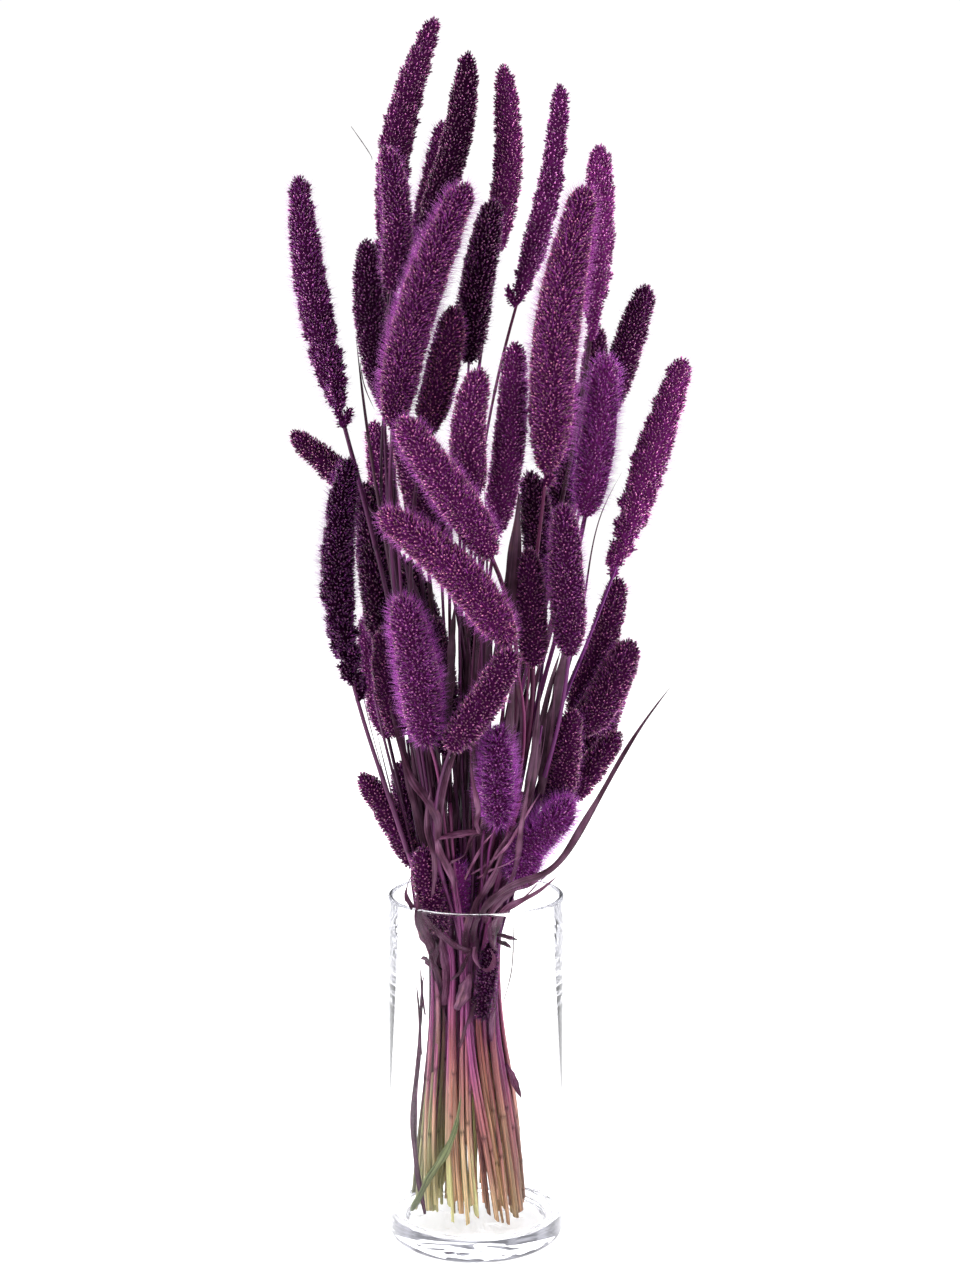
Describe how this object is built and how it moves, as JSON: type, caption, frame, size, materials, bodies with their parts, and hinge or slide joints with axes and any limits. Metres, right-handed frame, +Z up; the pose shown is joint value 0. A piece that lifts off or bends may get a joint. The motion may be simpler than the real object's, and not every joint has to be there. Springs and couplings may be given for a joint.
{
  "type": "vase of dried foxtail millet",
  "caption": "Tall clear glass cylinder vase holding a loose bunch of dried, purple-dyed foxtail millet: bristly seed heads on long thin culms with a few curled leaf blades.",
  "frame": {"origin": "centre of the vase's flat underside, on the vase's axis", "axes": "+Z up along the vase's axis, -Y towards the side that the bunch is seen best from, +X to the viewer's right"},
  "size_m": [0.2193, 0.1634, 0.693],
  "materials": {
    "clear_glass": "polished clear soda-lime glass",
    "dyed_millet": "dried grass, dyed deep purple, matte and bristly",
    "dry_leaf": "dried leaf blade, mauve-brown, matte"
  },
  "bodies": {
    "root": {"vase": "clear_glass", "stalk_01": "dyed_millet", "stalk_02": "dyed_millet", "stalk_03": "dyed_millet", "stalk_04": "dyed_millet", "stalk_05": "dyed_millet", "stalk_06": "dyed_millet", "stalk_07": "dyed_millet", "stalk_08": "dyed_millet", "stalk_09": "dyed_millet", "stalk_10": "dyed_millet", "stalk_11": "dyed_millet", "stalk_12": "dyed_millet", "stalk_13": "dyed_millet", "stalk_14": "dyed_millet", "stalk_15": "dyed_millet", "stalk_16": "dyed_millet", "stalk_17": "dyed_millet", "stalk_18": "dyed_millet", "stalk_19": "dyed_millet", "stalk_20": "dyed_millet", "stalk_21": "dyed_millet", "stalk_22": "dyed_millet", "stalk_23": "dyed_millet", "stalk_24": "dyed_millet", "stalk_25": "dyed_millet", "stalk_26": "dyed_millet", "stalk_27": "dyed_millet", "stalk_28": "dyed_millet", "stalk_29": "dyed_millet", "stalk_30": "dyed_millet", "stalk_31": "dyed_millet", "stalk_32": "dyed_millet", "stalk_33": "dyed_millet", "stalk_34": "dyed_millet", "stalk_35": "dyed_millet", "stalk_36": "dyed_millet", "stalk_37": "dyed_millet", "stalk_38": "dyed_millet", "stalk_39": "dyed_millet", "stalk_40": "dyed_millet", "stalk_41": "dyed_millet", "stalk_42": "dyed_millet", "stalk_43": "dyed_millet", "stalk_44": "dyed_millet", "stalk_45": "dyed_millet", "stalk_46": "dyed_millet", "stalk_47": "dyed_millet", "stalk_48": "dyed_millet", "stalk_49": "dyed_millet", "stalk_50": "dyed_millet", "stalk_51": "dyed_millet", "stalk_52": "dyed_millet", "leaf_long_right": "dry_leaf", "leaf_bent_right": "dry_leaf", "leaf_long_left": "dry_leaf", "leaf_thin_right": "dry_leaf", "leaf_low_left": "dry_leaf", "leaf_in_vase": "dry_leaf", "leaf_pale": "dry_leaf"}
  },
  "joints": []
}
